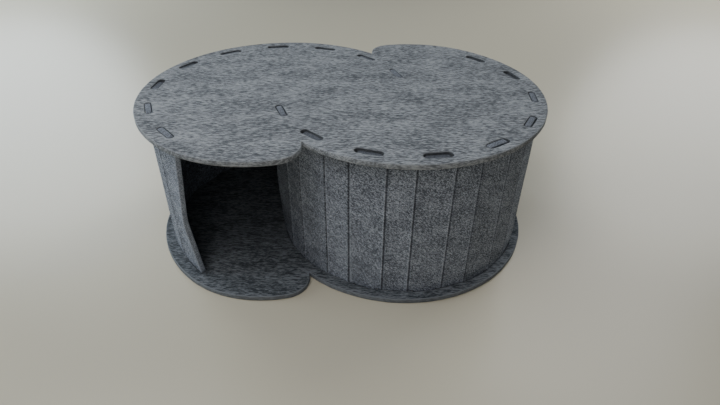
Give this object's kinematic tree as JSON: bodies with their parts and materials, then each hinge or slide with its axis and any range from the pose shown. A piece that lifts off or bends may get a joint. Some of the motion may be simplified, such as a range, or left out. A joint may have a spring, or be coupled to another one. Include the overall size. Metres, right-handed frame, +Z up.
{
  "type": "cat hideaway bed",
  "caption": "Low cat hideaway of stiff grey felt board: equal lobed base and top panels joined by curved scored walls, with a mouth at each end of a winding way between them.",
  "frame": {"origin": "on the floor under the middle of the bed, where its half-turn axis meets the floor", "axes": "+X along the two lobes, to the right one; -Y towards the mouth of the left lobe; +Z up"},
  "size_m": [0.5966, 0.423, 0.23],
  "materials": {
    "panel_felt": "matte heather grey needled felt board, 8 mm thick, cut edges",
    "wall_felt": "matte speckled grey needled felt board, 8 mm thick, scored for bending"
  },
  "bodies": {
    "root": {"base_panel": "panel_felt", "wall_left": "wall_felt", "wall_right": "wall_felt", "top_panel": "panel_felt"}
  },
  "joints": []
}
